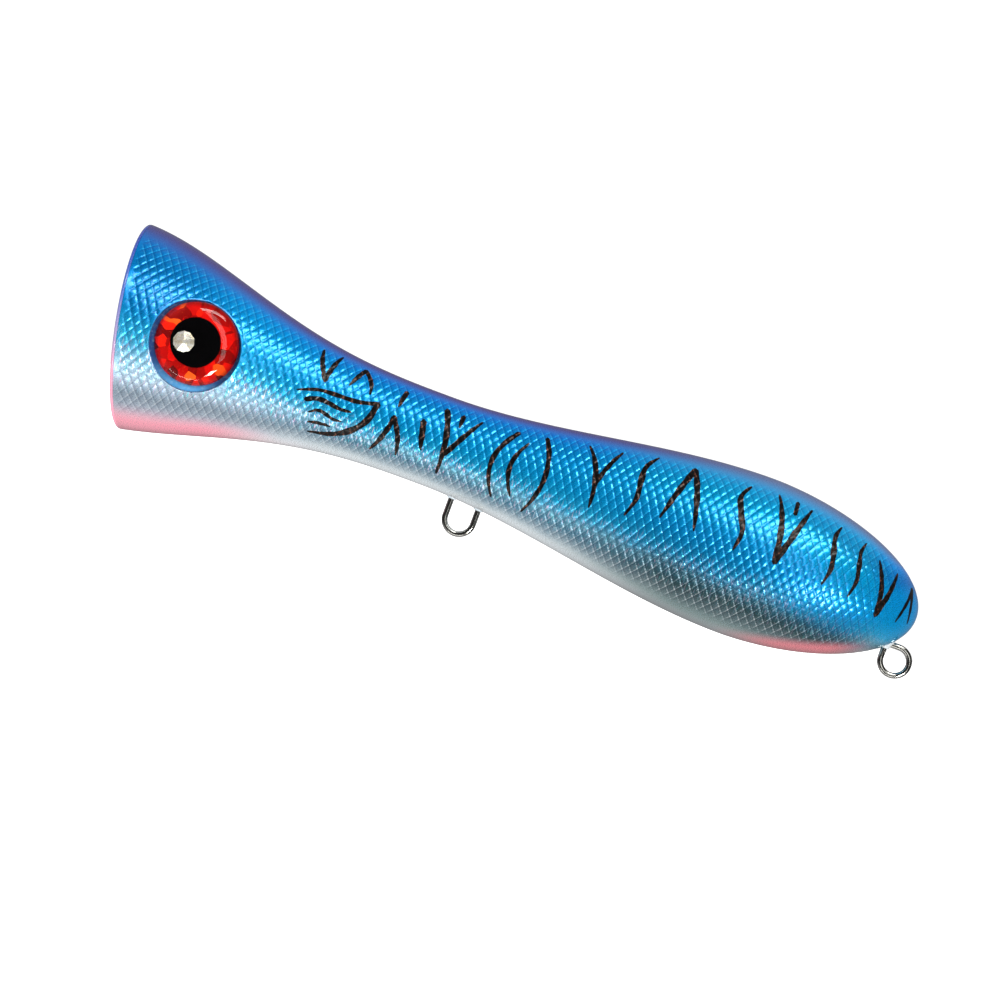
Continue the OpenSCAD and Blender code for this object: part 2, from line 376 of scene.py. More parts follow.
STROKES = [
    # Round the gill fin
    *fork((46.5, 19), (43.5, 55), (48, 59), 1.15, -0.6, -0.2),
    *fork((54, 55), (52, 25), (57, 24), 1.1, 0, 0.7),
    sweep((64.5, 47), (64, 23), 1.2, "end"),
    *fin(),
    *fork((64, 8), (61, -41), (67, -36), 1.2, 0.5, 0.8),
    sweep((70.5, 16), (72, -18), 1.4, "end"),
    # A branched mark: stem, arm and dash
    sweep((74.5, 43), (77, -41), 1.4, "end", (1, 0)),
    sweep((83, 43), (77.5, -12), 1.2, "start"),
    sweep((78.5, 42), (78.5, 25), 1.1, "end"),
    # Three arcs round the waist
    sweep((91.5, 43), (90.5, -41), 1.2, "end", (-3, 0)),
    sweep((94.5, 33), (94.5, -30), 1.2, "both", (-2.2, 0)),
    sweep((98, 46), (98, -42), 1.2, "end", (2.5, 0)),
    # Along the belly to the tail
    sweep((107.5, 51), (112, -9), 1.4, "both", (1.2, 0)),
    sweep((115, 52), (111.5, 12), 1.1, "start", (-0.3, 0)),
    sweep((123, 57), (120, -4), 1.4, "both", (-0.6, 0), (-0.9, 0)),
    *fork((131.5, 53), (127.5, 4), (135.5, 3), 1.4, 0, 0.2),
    sweep((144.5, 53), (145, 0), 1.5, "both", (-0.7, 0), (-1.2, 0)),
    *fork((154.5, 2), (151, 55), (159, 54), 1.4, 0.6, 0.1),
    sweep((155.5, 55), (155.5, 42), 1.0, "none"),
    sweep((166.5, 53), (166, -1), 1.4, "both", (0, 0), (-0.7, 0)),
    sweep((173, 53), (172.5, -3), 1.2, "both", (0, 0), (-0.6, 0)),
    *fork((180, -12), (177, 44), (182, 47), 1.3, 0.8, 0.4),
    *fork((186.5, 51), (185, -15), (188, -18), 1.0, 0.4, 0.2),
]


def curve_through(points):
    """Even steps along a smooth curve through points, and how far along each one is, 0 to 1."""
    p = np.asarray(points, float)
    ends = np.concatenate([[2 * p[0] - p[1]], p, [2 * p[-1] - p[-2]]])
    fine = []
    for i in range(1, len(ends) - 2):
        a, b, c, d = ends[i - 1 : i + 3]
        u = np.linspace(0, 1, CURVE_STEPS, endpoint=False)[:, None]
        fine.append(
            0.5
            * (2 * b + (c - a) * u + (2 * a - 5 * b + 4 * c - d) * u**2
               + (3 * b - a - 3 * c + d) * u**3)
        )
    fine = np.concatenate(fine + [p[-1:]])
    run = np.concatenate([[0], np.cumsum(np.linalg.norm(np.diff(fine, axis=0), axis=1))])
    count = max(FEWEST_STEPS, int(run[-1] / STROKE_STEP))
    at = np.linspace(0, run[-1], count)
    return np.stack([np.interp(at, run, fine[:, k]) for k in (0, 1)], axis=-1), at / run[-1]


def stroke_outline(points, width, taper):
    """The closed outline of one brush stroke, as s and t."""
    flat = [(float(s_of(x)), float(body_r(x)) * math.radians(phi)) for x, phi in points]
    line, share = curve_through(flat)
    full = np.full(len(share), 1.0)
    if taper in ("start", "both"):
        full = np.minimum(full, np.clip(share / STROKE_TAPER, 0, 1) ** STROKE_ROUND)
    if taper in ("end", "both"):
        full = np.minimum(full, np.clip((1 - share) / STROKE_TAPER, 0, 1) ** STROKE_ROUND)
    half = STROKE_TIP + (width / 2 - STROKE_TIP) * full
    half *= 1 + STROKE_WAVER * np.sin(share * STROKE_WAVES + points[0][0])
    way = np.gradient(line, axis=0)
    way /= np.linalg.norm(way, axis=1)[:, None]
    side = np.stack([-way[:, 1], way[:, 0]], axis=-1)
    first = line + side * half[:, None]
    second = line - side * half[:, None]
    return np.concatenate([first, [line[-1] + way[-1] * half[-1]], second[::-1],
                           [line[0] - way[0] * half[0]]])


def inside(points, polygon):
    """True for points inside a closed polygon, by how often it winds round them."""
    turns = np.zeros(len(points), int)
    a = polygon
    b = np.roll(polygon, -1, axis=0)
    for (ax, ay), (bx, by) in zip(a, b):
        cross = (bx - ax) * (points[:, 1] - ay) - (points[:, 0] - ax) * (by - ay)
        turns += (ay <= points[:, 1]) & (by > points[:, 1]) & (cross > 0)
        turns -= (ay > points[:, 1]) & (by <= points[:, 1]) & (cross < 0)
    return turns != 0


# ---- Painted skin ----
RIM_STEPS = 70
RIM_ROUNDS = 30
SEAM_STEPS = 230
SOCKET_STEPS = 140
HOLE_PLAY = 0.02
GRID_SPARE = 12
GRID_HALF_WIDTH = 38

# Where the diamonds fade out: phi at the back and the belly, the distance behind the mouth, x at
# the tail, and the distance outside the socket
FADE_BACK = (50, 62)
FADE_BELLY = (-62, -48)
FADE_MOUTH = (0.9, 2.2)
FADE_TAIL = (178, 186)
FADE_SOCKET = (0.25, 0.7)


def behind_mouth(points):
    """How far points of the body lie behind the mouth's plane."""
    x = points[..., 0] - RIM_X
    return x * math.cos(MOUTH_SLANT) + points[..., 2] * math.sin(MOUTH_SLANT)


def rim_line(count):
    """The skin's front edge from the back to the belly, as s and t."""
    phi = np.linspace(math.pi / 2, -math.pi / 2, count)
    x = np.zeros(count)
    for _ in range(RIM_ROUNDS):
        drop = body_r(x) * np.sin(phi) * math.sin(MOUTH_SLANT)
        x = (RIM_BAND - drop) / math.cos(MOUTH_SLANT)
    return np.stack([s_of(x), body_r(x) * phi], axis=-1)


def skin_loop():
    """The edge of one half of the skin, as s and t: mouth, belly line, tail's tip, back line."""
    front = rim_line(RIM_STEPS)
    belly_s = np.linspace(front[-1][0], TIP_S, SEAM_STEPS)[1:-1]
    back_s = np.linspace(TIP_S, front[0][0], SEAM_STEPS)[1:-1]
    half_turn = math.pi / 2
    belly = np.stack([belly_s, -half_turn * np.interp(belly_s, TABLE_S, TABLE_R)], axis=-1)
    back = np.stack([back_s, half_turn * np.interp(back_s, TABLE_S, TABLE_R)], axis=-1)
    return np.concatenate([front, belly, [[TIP_S, 0]], back])


def in_skin(flat, margin):
    """True for points of the flank that the skin covers, by at least margin from its edges."""
    r = np.interp(flat[:, 0], TABLE_S, TABLE_R)
    p = on_body(flat[:, 0], flat[:, 1], 0)
    return (
        (np.abs(flat[:, 1]) < r * math.pi / 2 - margin)
        & (behind_mouth(p) > RIM_BAND + margin)
        & (socket_radius(p) > SOCKET_R + HOLE_PLAY / 2 + margin)
    )


def lattice(steps_u, steps_v, keep):
    """Points of the diamond grid at shares of its lines' spacing, where keep says so."""
    reach = int(TIP_S / DIAMOND_X + GRID_SPARE)
    base = np.arange(-GRID_SPARE, reach)
    u = (base[:, None] + np.array(steps_u)).ravel()
    v = (base[:, None] + np.array(steps_v)).ravel()
    uu, vv = np.meshgrid(u, v)
    s = DIAMOND_X * (uu + vv) / 2
    t = DIAMOND_T * (uu - vv) / 2
    flat = np.stack([s.ravel(), t.ravel()], axis=-1)
    along, across = flat[:, 0], np.abs(flat[:, 1])
    flat = flat[(along > OUTLINE_START) & (along < TIP_S) & (across < GRID_HALF_WIDTH)]
    return flat[keep(flat)]


def emboss_share(flat):
    """How deep the diamonds are pressed at a place: 1 on the flank, 0 where they fade out."""
    r = np.interp(flat[:, 0], TABLE_S, TABLE_R)
    x = np.interp(flat[:, 0], TABLE_S, TABLE_X)
    phi = np.degrees(flat[:, 1] / np.maximum(r, 0.5))
    upper = 1 - smooth(phi, *FADE_BACK)
    lower = smooth(phi, *FADE_BELLY)
    p = on_body(flat[:, 0], flat[:, 1], 0)
    front = smooth(behind_mouth(p), *FADE_MOUTH)
    tail = 1 - smooth(x, *FADE_TAIL)
    eye = smooth(socket_radius(p), *(SOCKET_R + gap for gap in FADE_SOCKET))
    return upper * lower * front * tail * eye


def groove_parts(flat):
    """How deep the grid presses a place, its painted highlight or shade, and how far inside a
    diamond it is.
    """
    u = flat[:, 0] / DIAMOND_X + flat[:, 1] / DIAMOND_T
    v = flat[:, 0] / DIAMOND_X - flat[:, 1] / DIAMOND_T
    du, dv = u - np.round(u), v - np.round(v)
    depth = np.maximum(*(np.interp(d, EDGE_PLACE, EDGE_DEPTH) for d in (du, dv)))
    # Above 0 the tone is a painted highlight on the diamond's bevel, below 0 painted shade in the
    # groove
    tones = [np.interp(d, EDGE_PLACE, EDGE_PAINTED_LIGHT) for d in (du, dv)]
    tone = np.minimum(np.minimum(*tones), 0) + np.maximum(np.maximum(*tones), 0)
    middle = (1 - (2 * du) ** 2) * (1 - (2 * dv) ** 2)
    middle *= 1 - depth
    return depth, tone, middle


def skin_height(flat):
    """The painted surface's height above the shell."""
    share = emboss_share(flat)
    depth, _, middle = groove_parts(flat)
    p = on_body(flat[:, 0], flat[:, 1], 0)
    edge = SOCKET_ROUND * (1 - smooth(socket_radius(p), SOCKET_R, SOCKET_R + SOCKET_LINE))
    return SKIN_TOP + share * (PILLOW * (middle - 0.5) - GROOVE_DEPTH * depth) - edge


def triangles(flat, loops, margin=1e-4):
    """Joins points into triangles, with closed loops as fixed edges.

    Returns the points, the triangles in the skin and where each input point went.
    """
    coords = [Vector(p) for p in flat]
    edges = []
    for loop in loops:
        start = len(coords)
        coords.extend(Vector(p) for p in loop)
        n = len(loop)
        edges.extend((start + i, start + (i + 1) % n) for i in range(n))
    out = delaunay_2d_cdt(coords, edges, [], 0, 1e-6)
    where = np.zeros(len(coords), int)
    for i, sources in enumerate(out[3]):
        for source in sources:
            where[source] = i
    points = np.array([tuple(p) for p in out[0]])
    faces = np.array(out[2])
    centre = points[faces].mean(axis=1)
    a = points[faces[:, 1]] - points[faces[:, 0]]
    b = points[faces[:, 2]] - points[faces[:, 0]]
    solid = np.abs(a[:, 0] * b[:, 1] - a[:, 1] * b[:, 0]) > 1e-7
    return points, faces[solid & in_skin(centre, -margin)], where


def ink_flags(centre, outlines):
    """True for the faces whose centres lie in a stroke."""
    inked = np.zeros(len(centre), bool)
    for outline in outlines:
        low, high = outline.min(axis=0) - 0.1, outline.max(axis=0) + 0.1
        near = np.flatnonzero(np.all((centre > low) & (centre < high), axis=1))
        inked[near] |= inside(centre[near], outline)
    return inked


def skin_half():
    """Points, faces, ink flags and marks of the left half of the skin, a thin closed shell.

    The marks are the grid's painted highlight and shade, and a painted shadow line round the eye
    socket.
    """
    edge = skin_loop()
    eye = socket_edge(SOCKET_STEPS, HOLE_PLAY)
    line = socket_edge(SOCKET_STEPS, SOCKET_LINE)
    fine = lattice(
        LATTICE, LATTICE,
        lambda flat: in_skin(flat, 0.12) & (emboss_share(flat) > 0.02),
    )
    plain = lattice(
        (0, 0.5), (0, 0.5),
        lambda flat: in_skin(flat, 0.25) & (emboss_share(flat) <= 0.02),
    )
    outlines = [stroke_outline(*stroke) for stroke in STROKES]
    flat = np.concatenate([fine, plain])
    outer, outer_faces, outer_where = triangles(flat, [edge, eye, line] + outlines)
    coarse = lattice((0,), (0,), lambda flat: in_skin(flat, 1.0))
    inner, inner_faces, inner_where = triangles(coarse, [edge, eye])

    height = skin_height(outer)
    points = np.concatenate(
        [
            on_body(outer[:, 0], outer[:, 1], height),
            on_body(inner[:, 0], inner[:, 1], SKIN_FLOOR),
        ]
    )
    inked = ink_flags(outer[outer_faces].mean(axis=1), outlines)

    faces = [tuple(f) for f in outer_faces.tolist()]
    faces += [tuple(f) for f in (inner_faces + len(outer)).tolist()]
    ink = inked.tolist() + [False] * len(inner_faces)
    start_outer, start_inner = len(flat), len(coarse)
    for count in (len(edge), len(eye)):
        for i in range(count):
            j = (i + 1) % count
            a, b = outer_where[start_outer + i], outer_where[start_outer + j]
            c, d = inner_where[start_inner + j], inner_where[start_inner + i]
            faces.append((int(a), int(b), int(c + len(outer)), int(d + len(outer))))
            ink.append(False)
        start_outer += count
        start_inner += count
    _, tone, _ = groove_parts(outer)
    ring = socket_radius(on_body(outer[:, 0], outer[:, 1], 0)) - SOCKET_R
    marks = np.zeros((len(points), 2))
    marks[: len(outer), 0] = tone * emboss_share(outer)
    # The second mark is the painted shadow line just outside the socket
    marks[: len(outer), 1] = ring < SOCKET_LINE - HOLE_PLAY
    return points, faces, ink, marks


def drop_unused(points, faces, values):
    """Removes points that no face uses."""
    used = np.unique(np.concatenate([np.array(f) for f in faces]))
    place = np.full(len(points), -1)
    place[used] = np.arange(len(used))
    return points[used], [tuple(int(place[i]) for i in f) for f in faces], values[used]


def painted_skins(paint, ink):
    """Both halves of the painted, embossed skin; the right one mirrors the left."""
    points, faces, inked, marks = skin_half()
    points, faces, marks = drop_unused(points, faces, marks)
    for name, side in (("painted_skin_left", 1), ("painted_skin_right", -1)):
        mirrored = points * np.array([1, side, 1])
        skin = mesh_object(name, mirrored, faces, [paint, ink], index=np.array(inked, int))
        for column, mark in enumerate(("grid_painted_light", "socket_painted_shadow")):
            layer = skin.data.attributes.new(mark, "FLOAT", "POINT")
            layer.data.foreach_set("value", marks[:, column].astype(np.float32))
        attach(skin, BODY)


# ---- Mouth ----
LINING = 0.2

# The lip's section: (ahead of the rim, height above the body) outside, and (distance outside the
# cup's edge, ahead of the rim) inside
LIP_OUTSIDE = (
    (-RIM_BAND, 0.1), (-RIM_BAND + 0.03, 0.2), (-0.45, 0.26), (-0.28, 0.26), (-0.1, 0.2),
    (0.06, 0.04), (0.16, -0.14), (0.2, -0.4), (0.2, -1.0),
)
LIP_INSIDE = ((0.6, 0.2), (0.25, 0.17), (0, 0.06), (-0.16, -0.12))


def mouth_point(angle, radius, ahead):
    """A point by its angle and distance from the mouth's axis and its distance ahead of the rim."""
    up = radius * np.sin(angle)
    x = -ahead * math.cos(MOUTH_SLANT) - up * math.sin(MOUTH_SLANT)
    z = -ahead * math.sin(MOUTH_SLANT) + up * math.cos(MOUTH_SLANT)
    return np.stack([RIM_X + x, radius * np.cos(angle), z], axis=-1)


def rim_radius(angle, ahead, height):
    """How far the body's surface is from the mouth's axis, at a height above it."""
    def outside(radius):
        p = mouth_point(angle, radius, ahead)
        return np.hypot(p[:, 1], p[:, 2]) > body_r(p[:, 0] - RIM_X) + height

    return halve(len(angle), 12, 32, outside)


def cup_rows(angle, ball_r, turns):
    """Rows of the bowl at turns from its axis in degrees. The row on the axis is one point."""
    rows = []
    for turn in np.radians(turns):
        ahead = CUP_SPHERE_R - CUP_DEPTH - ball_r * math.cos(turn)
        row = mouth_point(angle, np.full(len(angle), ball_r * math.sin(turn)), ahead)
        rows.append(row[:1] if turn == 0 else row)
    return rows


def lining_rows(angle):
    """The lining's rows, over the lip from outside, down the cup, and back behind it."""
    rows = [
        mouth_point(angle, rim_radius(angle, ahead, height), ahead)
        for ahead, height in LIP_OUTSIDE
    ]
    rows += [
        mouth_point(angle, np.full(len(angle), CUP_R + gap), ahead) for gap, ahead in LIP_INSIDE
    ]
    rows += cup_rows(angle, CUP_SPHERE_R - LINING, np.linspace(62, 0, 21))
    rows += cup_rows(angle, CUP_SPHERE_R - SKIN_FLOOR, np.linspace(0, 63.5, 12))
    rows.append(mouth_point(angle, np.full(len(angle), CUP_R), SKIN_FLOOR))
    rows += [
        mouth_point(angle, rim_radius(angle, ahead, SKIN_FLOOR), ahead)
        for ahead in (SKIN_FLOOR, -RIM_BAND / 2, -RIM_BAND)
    ]
    rows.append(rows[0])
    return [[tuple(p) for p in row] for row in rows]


def mouth_lining(paint):
    """The painted cup and rim: two lofts that meet at the lip's outer edge."""
    angle = np.linspace(0, 2 * math.pi, 200, endpoint=False)
    rows = lining_rows(angle)
    front_end = next(i for i, row in enumerate(rows) if len(row) == 1)
    front_points, front_faces = loft(rows[: front_end + 1])
    back_points, back_faces = loft(rows[front_end + 1 :])
    shift = len(front_points)
    points = np.concatenate([front_points, back_points])
    faces = front_faces + [tuple(i + shift for i in f) for f in back_faces]
    lining = mesh_object("mouth_lining", points, faces, [paint])
    weld(lining)
    lining.data.set_sharp_from_angle(angle=SHARP_ANGLE)
    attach(lining, BODY)


# ---- Paint round the wires ----

COLLAR_BORE = 0.68
COLLAR_ROOT = -0.8
HANGER_LEG_GAP = 3.35
TAIL_LEG_X = 178.0


def collar(name, place, base_r, top_r, height, paint):
    """A fillet of paint where a wire enters the body. +Z of place runs out along the wire."""
    profile = [
        (COLLAR_BORE, COLLAR_ROOT), (base_r, COLLAR_ROOT), (base_r, -0.1), (base_r - 0.12, 0.1),
        (top_r + (base_r - top_r) * 0.45, height * 0.4),
        (top_r + 0.12, height * 0.78), (top_r, height * 0.95), (top_r - 0.12, height),
        (COLLAR_BORE, height), (COLLAR_BORE, COLLAR_ROOT),
    ]
    points, faces = turned(profile, place, 48)
    made = mesh_object(name, points, faces, [paint])
    weld(made)
    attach(made, BODY)


def under_body(x, sink):
    """A frame on the belly line at x in the part's frame, sink mm inside it, with +Z down."""
    down = Matrix.Rotation(math.pi, 4, "X")
    return Matrix.Translation((x, 0, -float(body_r(x - RIM_X)) + sink)) @ down


def collars(paint, white):
    """The collars of the hanger's two legs and of the tail ring."""
    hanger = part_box("belly_hanger")
    middle = (hanger[0].x + hanger[1].x) / 2 / MM
    for name, side in (("front", -1), ("rear", 1)):
        place = under_body(middle + side * HANGER_LEG_GAP, -0.1)
        collar(f"hanger_collar_{name}", place, 1.35, 0.9, 0.45, paint)
    collar("tail_collar", under_body(TAIL_LEG_X, 0.9), 1.9, 1.05, 1.7, white)


# ---- Eyes ----

def eye_lens(name, side, glass):
    """The clear cast dome, which stands for the CAD dome of its side.

    It sits a little into the foil, so that no air shows under it.
    """
    base = -LENS_SINK
    profile = [(0, base), (EYE_R - 1.5, base), (EYE_R - 0.25, base), (EYE_R - 0.06, base + 0.08),
               (EYE_R, base + 0.25)]
    for turn in np.linspace(0, math.pi / 2, 44):
        radius = EYE_R * math.cos(turn) ** 0.5
        crown = math.sqrt(1 - (radius / EYE_R) ** DOME_FLATNESS)
        profile.append((radius, DOME_EDGE + (DOME_H - DOME_EDGE) * crown))
    profile[-1] = (0, DOME_H)
    place = socket_frame(side) @ Matrix.Translation((*EYE_SHIFT, FOIL_TOP))
    points, faces = turned(profile, place, 128)
    lens = mesh_object(f"eye_lens_{name}", points, faces, [glass])
    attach(lens, BODY)
    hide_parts(f"eye_dome_{name}")


# ---- Materials ----

def rgb(r, g, b):
    """A colour given in 0 to 255 as seen on a screen."""
    linear = [((c / 255 + 0.055) / 1.055) ** 2.4 if c > 10 else c / 255 / 12.92 for c in (r, g, b)]
    return (*linear, 1.0)


class Graph:
    """Short ways to add nodes to a node tree. Each gives an output socket."""

    def __init__(self, graph):
        self.graph = graph

    def node(self, kind, inputs=None, out=0, **settings):
        made = self.graph.nodes.new(kind)
        for key, value in settings.items():
            setattr(made, key, value)
        for key, value in (inputs or {}).items():
            if isinstance(value, bpy.types.NodeSocket):
                self.graph.links.new(value, made.inputs[key])
            else:
                made.inputs[key].default_value = value
        return made.outputs[out]

    def axes(self, place):
        """x, y and z of a place."""
        return self.node("ShaderNodeSeparateXYZ", {0: place}).node.outputs

    def math(self, operation, *values):
        return self.node("ShaderNodeMath", dict(enumerate(values)), operation=operation)

    def linear(self, value, low, high):
        """0 at low and 1 at high, in proportion between them."""
        return self.node("ShaderNodeMapRange", {0: value, 1: low, 2: high, 3: 0.0, 4: 1.0})

    def smooth(self, value, low, high, start=0.0, end=1.0):
        """start at low and end at high, eased between them; low may be above high."""
        if low > high:
            low, high, start, end = high, low, end, start
        return self.node(
            "ShaderNodeMapRange", {0: value, 1: low, 2: high, 3: start, 4: end},
            interpolation_type="SMOOTHSTEP",
        )


class Tree(Graph):
    """A material's nodes, with one Principled shader."""

    def __init__(self, name, **values):
        self.material = bpy.data.materials.new(name)
        self.material.use_nodes = True
        super().__init__(self.material.node_tree)
        self.shader = self.graph.nodes["Principled BSDF"]
        for key, value in values.items():
            self.shader.inputs[key.replace("_", " ")].default_value = value
        self.place = self.node("ShaderNodeTexCoord", out="Object")

    def mix(self, share, first, second, blend="MIX"):
        return self.node(
            "ShaderNodeMix", {0: share, 6: first, 7: second}, out=2,
            data_type="RGBA", blend_type=blend,
        )

    def ramp(self, share, stops):
        made = self.graph.nodes.new("ShaderNodeValToRGB")
        elements = made.color_ramp.elements
        elements[0].position, elements[0].color = stops[0]
        elements[1].position, elements[1].color = stops[-1]
        for position, colour in stops[1:-1]:
            elements.new(position).color = colour
        self.graph.links.new(share, made.inputs[0])
        return made.outputs[0]

    def scaled(self, x, y, z):
        return self.node("ShaderNodeVectorMath", {0: self.place, 1: (x, y, z)}, operation="MULTIPLY")

    def noise(self, vector, scale=1.0, detail=2.0, rough=0.5, out=0):
        return self.node(
            "ShaderNodeTexNoise",
            {"Vector": vector, "Scale": scale, "Detail": detail, "Roughness": rough}, out=out,
        )

    def grain(self, scale, detail=2.0, out=0):
        """Noise of the same scale in every direction."""
        return self.noise(self.scaled(scale, scale, scale), 1.0, detail, out=out)

    def bump(self, height, strength, distance_mm):
        return self.node(
            "ShaderNodeBump",
            {"Strength": strength, "Distance": distance_mm * MM, "Height": height},
        )

    def set(self, name, value):
        self.graph.links.new(value, self.shader.inputs[name])

    def dress(self, pattern, colour, rough, strength=0.3, depth=0.02, span=(0.3, 0.7)):
        """Sets the colour, and a roughness and a bump that follow a pattern."""
        self.set("Base Color", colour)
        self.set("Roughness", self.smooth(pattern, *span, *rough))
        self.set("Normal", self.bump(pattern, strength, depth))
        return self.material


# How far the flank's blue runs round the tail's tip, so that the colours don't meet in a point
TIP_SPREAD = 9.0


def body_place(tree):
    """x and phi of the shaded place, for paint that follows the body."""
    along, aside, up = tree.axes(tree.place)
    x = tree.math("MULTIPLY_ADD", along, 1 / MM, -RIM_X)
    spread = tree.smooth(x, 180, BODY_LEN, 0.0, TIP_SPREAD * MM)
    across = tree.math("ADD", tree.math("ABSOLUTE", aside), spread)
    turn = tree.math("ARCTAN2", up, across)
    return x, tree.math("MULTIPLY", turn, 180 / math.pi)


# The paint runs from the silver belly up to the blue flank. Each zone names the tone at each
# turn, in degrees from the line where silver gives way to blue.
PAINT_LOW, PAINT_HIGH = -80, 115
PAINT_TURNS = (-60, -42, -28, -18, -8, 6, 22, 56, 72)
HEAD_PAINT = (
    rgb(255, 230, 235), rgb(180, 190, 205), rgb(145, 160, 175), rgb(180, 200, 220),
    rgb(150, 195, 220), rgb(50, 180, 230), rgb(0, 160, 225), rgb(0, 155, 230), rgb(0, 130, 210),
)
WAIST_PAINT = (
    rgb(240, 245, 250), rgb(205, 215, 220), rgb(140, 165, 180), rgb(85, 135, 160),
    rgb(95, 155, 180), rgb(20, 160, 210), rgb(0, 155, 220), rgb(0, 150, 230), rgb(0, 120, 210),
)
# The belly's lower tones are darker than the waist's: partly its own slate paint, partly painted
# shade under the bulge
BELLY_PAINT_AND_SHADE = (
    rgb(160, 165, 170), rgb(120, 140, 140), rgb(80, 100, 105), rgb(40, 70, 75),
    rgb(20, 75, 95), rgb(0, 120, 170), rgb(0, 140, 210), rgb(0, 165, 225), rgb(20, 150, 210),
)


def paint_ramp(tree, share, tones):
    """One zone of paint, as its tones along PAINT_TURNS."""
    span = PAINT_HIGH - PAINT_LOW
    stops = [((turn - PAINT_LOW) / span, tone) for turn, tone in zip(PAINT_TURNS, tones)]
    return tree.ramp(share, stops)


def streaks(tree, x, phi):
    """Fine upright streaks of the holographic film: a share and a colour."""
    across = tree.math("MULTIPLY", x, 3.0)
    along = tree.math("MULTIPLY", phi, 0.11)
    place = tree.node("ShaderNodeCombineXYZ", {0: across, 1: along})
    share = tree.smooth(tree.noise(place, 1.0, 2.0, 0.7), 0.54, 0.62)
    other = tree.node("ShaderNodeCombineXYZ", {0: across, 1: along, 2: 9.0})
    hue = tree.ramp(
        tree.noise(other, 0.8, 1.0),
        [(0.34, rgb(60, 225, 232)), (0.42, rgb(225, 248, 255)), (0.50, rgb(110, 200, 242)),
         (0.57, rgb(250, 185, 226)), (0.66, rgb(240, 246, 255))],
    )
    return share, hue


def product(tree, *shares):
    """Shares multiplied together."""
    made = shares[0]
    for share in shares[1:]:
        made = tree.math("MULTIPLY", made, share)
    return made


def pink_patches(tree, colour, x, phi):
    """The pink of the chin and of the tail's underside."""
    chin = product(tree, tree.smooth(x, 42, 22), tree.smooth(phi, -46, -68))
    colour = tree.mix(chin, colour, rgb(255, 160, 180))
    edge = tree.math("MULTIPLY_ADD", tree.math("SUBTRACT", x, 150.0), 12 / 26, -65.0)
    below = tree.smooth(tree.math("SUBTRACT", phi, edge), 7, -9)
    tail = product(tree, below, tree.smooth(x, 146, 164), tree.smooth(x, 184, 172), 0.9)
    return tree.mix(tail, colour, rgb(232, 118, 130))


def painted_finish():
    tree = Tree("pearl_paint", Coat_Weight=0.65, Coat_Roughness=0.15, Specular_IOR_Level=0.05)
    x, phi = body_place(tree)
    drift = tree.grain(160, 3.0)
    wander = tree.math("MULTIPLY_ADD", drift, 9.0, -4.5)
    line = tree.math(
        "ADD", tree.smooth(x, 20, 60, -12.0, -20.0), tree.smooth(x, 150, 182, 0.0, -19.0)
    )
    turn = tree.math("ADD", tree.math("SUBTRACT", phi, line), wander)
    share = tree.linear(turn, float(PAINT_LOW), float(PAINT_HIGH))
    # Towards the tail the paint takes the belly's tones, which carry painted shade under the bulge
    full = product(tree, tree.smooth(x, 100, 138), tree.smooth(x, 186, 172, 0.05, 1.0))
    waist, belly = paint_ramp(tree, share, WAIST_PAINT), paint_ramp(tree, share, BELLY_PAINT_AND_SHADE)
    colour = tree.mix(full, waist, belly)
    colour = tree.mix(tree.smooth(x, 56, 18), colour, paint_ramp(tree, share, HEAD_PAINT))
    # Painted shade: darker blue on the upper flank near the rim, which dims the lamps' highlight
    # there
    rim = product(tree, tree.smooth(x, 30, 6), tree.smooth(phi, -4, 14), 0.55)
    colour = tree.mix(rim, colour, rgb(0, 92, 176))
    back = tree.smooth(phi, 48, 76)
    back_tone = tree.mix(tree.smooth(x, 110, 155), rgb(68, 60, 134), rgb(92, 112, 160))
    colour = tree.mix(back, colour, back_tone)

    glitter_share, hue = streaks(tree, x, phi)
    band = tree.smooth(tree.math("ABSOLUTE", tree.math("ADD", turn, 8.0)), 24, 6)
    front = tree.smooth(x, 120, 90, 0.2, 0.85)
    colour = tree.mix(product(tree, glitter_share, band, front), colour, hue)
    colour = pink_patches(tree, colour, x, phi)

    # The grid's mark paints a light line on each diamond's bevel as a painted highlight and darkens
    # its groove as painted shade
    tone = tree.node("ShaderNodeAttribute", out="Fac", attribute_name="grid_painted_light")
    silver = tree.smooth(turn, 4, -24)
    grid_highlight_share = product(tree, tree.math("MAXIMUM", tone, 0.0), 0.55)
    dark = product(tree, tree.math("MAXIMUM", tree.math("MULTIPLY", tone, -1.0), 0.0), 0.8)
    colour = tree.mix(grid_highlight_share, colour, tree.mix(silver, rgb(64, 208, 255), rgb(232, 240, 246)))
    shadow = tree.mix(silver, rgb(0, 52, 130), rgb(62, 84, 118))
    colour = tree.mix(dark, colour, tree.mix(0.6, colour, shadow, blend="MULTIPLY"))
    # A dark navy line just outside the eye socket: painted shadow in the gap round it
    ring = tree.node("ShaderNodeAttribute", out="Fac", attribute_name="socket_painted_shadow")
    colour = tree.mix(ring, colour, rgb(6, 46, 92))
    flake = tree.grain(5200, 1.0)
    colour = tree.mix(tree.smooth(flake, 0.6, 0.75, 0.0, 0.12), colour, rgb(60, 196, 240))
    tree.set("Base Color", colour)
    tree.set("Metallic", tree.smooth(phi, 62, 32, 0.22, 0.6))
    tree.set("Roughness", tree.smooth(flake, 0.35, 0.7, 0.26, 0.34))
    skin = tree.grain(900, 2.0)
    tree.set("Normal", tree.bump(tree.mix(0.08, skin, flake), 0.2, 0.02))
    return tree.material


